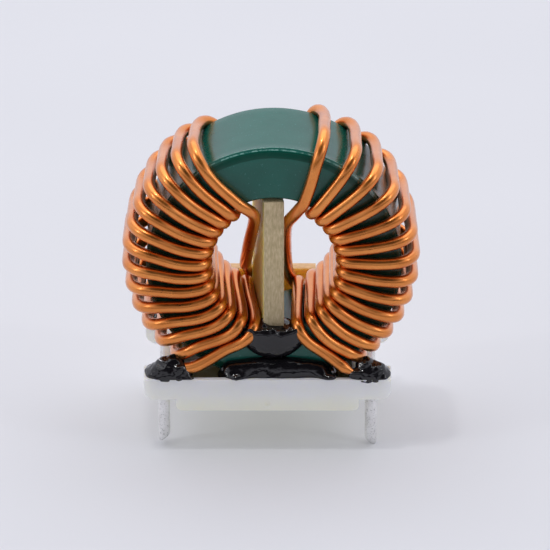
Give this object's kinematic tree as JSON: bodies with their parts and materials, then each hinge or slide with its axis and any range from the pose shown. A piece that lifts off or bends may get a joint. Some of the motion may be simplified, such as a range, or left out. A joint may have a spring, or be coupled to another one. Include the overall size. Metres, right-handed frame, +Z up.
{
  "type": "toroidal inductor",
  "caption": "Upright toroidal inductor: copper wire coils on a coated ferrite ring, split by a divider plate, standing in a moulded base with solder pins.",
  "frame": {"origin": "centre of the pin pattern in the plane of the base's underside, which sits on the circuit board", "axes": "+X along the base, across both coils; +Y from front to back, along the ring's axis; +Z up, away from the circuit board"},
  "size_m": [0.0365, 0.0202, 0.0413],
  "materials": {
    "base_nylon": "milky natural nylon, slightly translucent",
    "ring_coat": "smooth dark green epoxy coat on ferrite",
    "wire_enamel": "clear enamel on bright copper",
    "glass_epoxy": "glass-epoxy laminate, matt cut edges",
    "tinned_pin": "matt tin plate",
    "solder": "bright solder",
    "black_glue": "glossy black adhesive"
  },
  "bodies": {
    "root": {"base": "base_nylon", "core": "ring_coat", "winding_left": "wire_enamel", "winding_right": "wire_enamel", "divider": "glass_epoxy", "rear_board": "glass_epoxy", "pin_front_left": "tinned_pin", "pin_front_right": "tinned_pin", "pin_rear_left": "tinned_pin", "pin_rear_right": "tinned_pin", "solder_front_left": "solder", "solder_front_right": "solder", "solder_rear_left": "solder", "solder_rear_right": "solder", "glue_front_left": "black_glue", "glue_front_right": "black_glue", "glue_rear_left": "black_glue", "glue_rear_right": "black_glue", "glue_divider_foot": "black_glue", "glue_seat_front": "black_glue", "glue_board_foot": "black_glue"}
  },
  "joints": []
}
